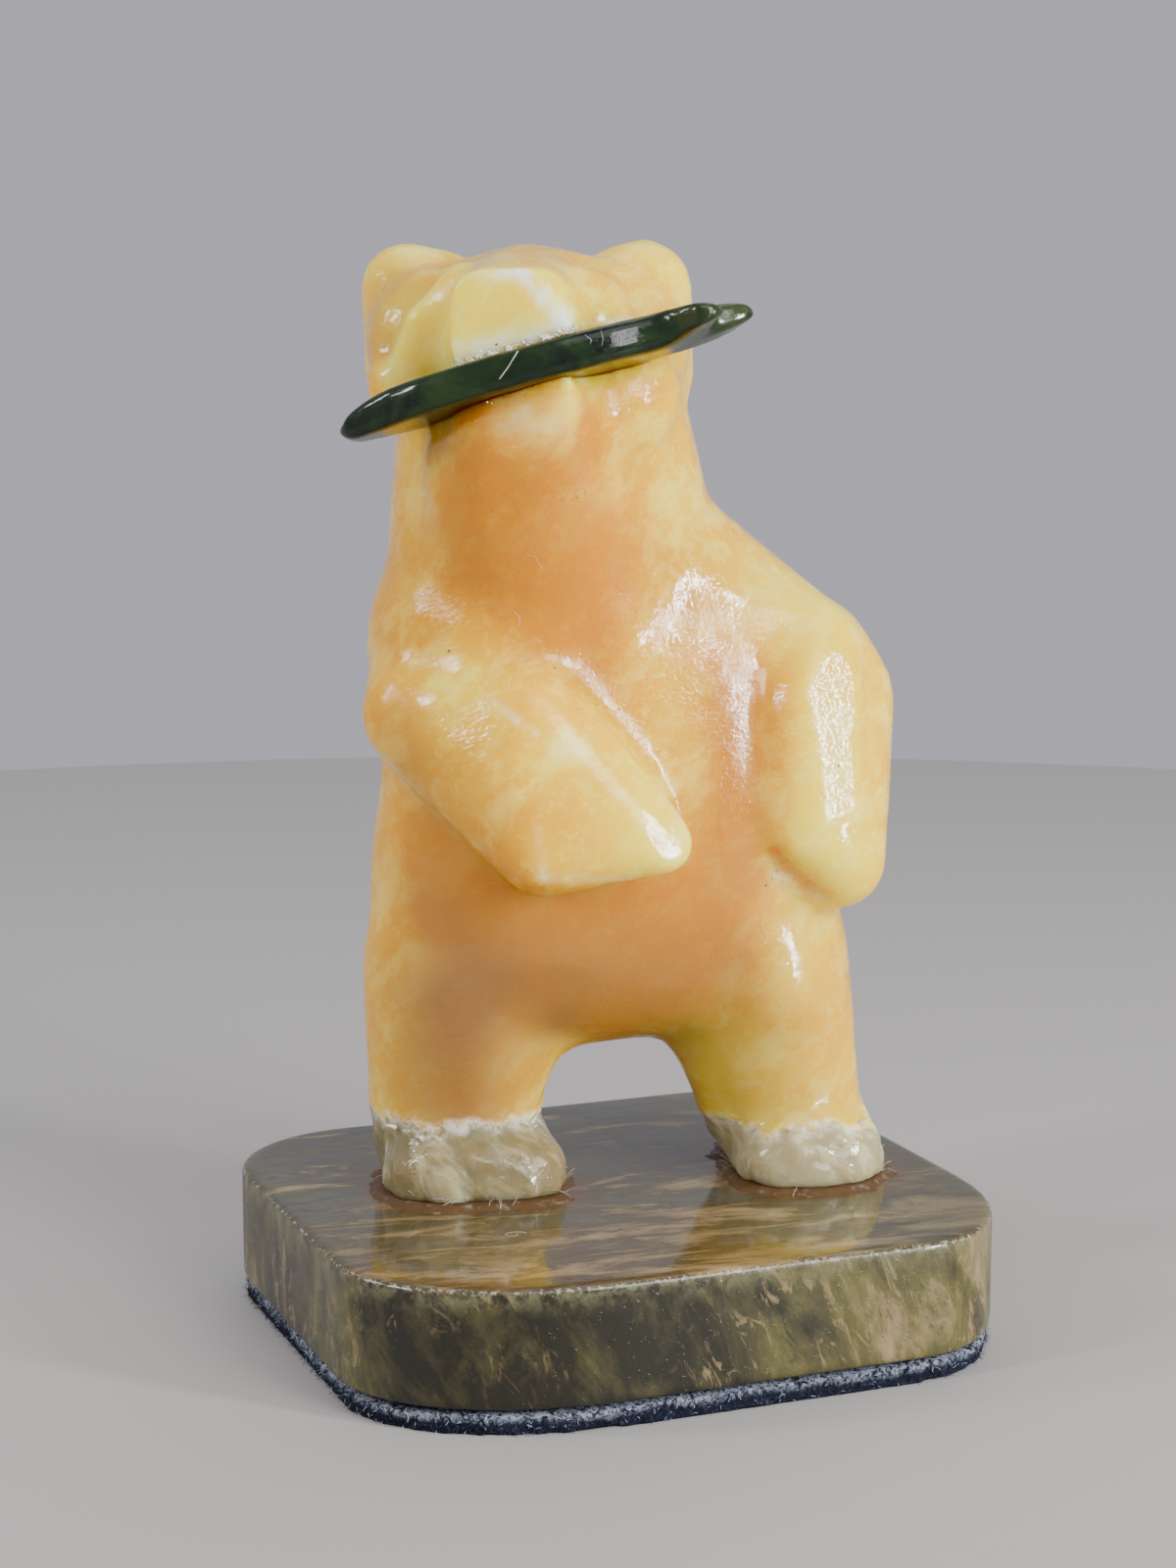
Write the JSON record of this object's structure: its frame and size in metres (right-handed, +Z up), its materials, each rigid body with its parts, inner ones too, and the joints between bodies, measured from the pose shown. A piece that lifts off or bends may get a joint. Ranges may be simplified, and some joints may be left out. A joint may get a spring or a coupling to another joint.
{
  "type": "bear figurine",
  "caption": "Small carved stone bear standing upright with a jade fish across its mouth, on a polished stone plinth with a felt pad.",
  "frame": {"origin": "middle of the felt pad's underside, which the figurine stands on", "axes": "+Z up, -Y to the front, +X to the viewer's right seen from the front; the plinth's sides run along X and Y, and the bear stands on it turned 12.5 degrees clockwise seen from above"},
  "size_m": [0.0482, 0.043, 0.0765],
  "materials": {
    "honey_stone": "polished translucent honey-coloured stone, pale green-grey at the feet",
    "green_jade": "polished dark green jade",
    "olive_stone": "polished olive-green stone with tan and dark streaks",
    "navy_felt": "dark navy felt"
  },
  "bodies": {
    "root": {"bear": "honey_stone", "fish": "green_jade", "plinth": "olive_stone", "felt_pad": "navy_felt"}
  },
  "joints": []
}
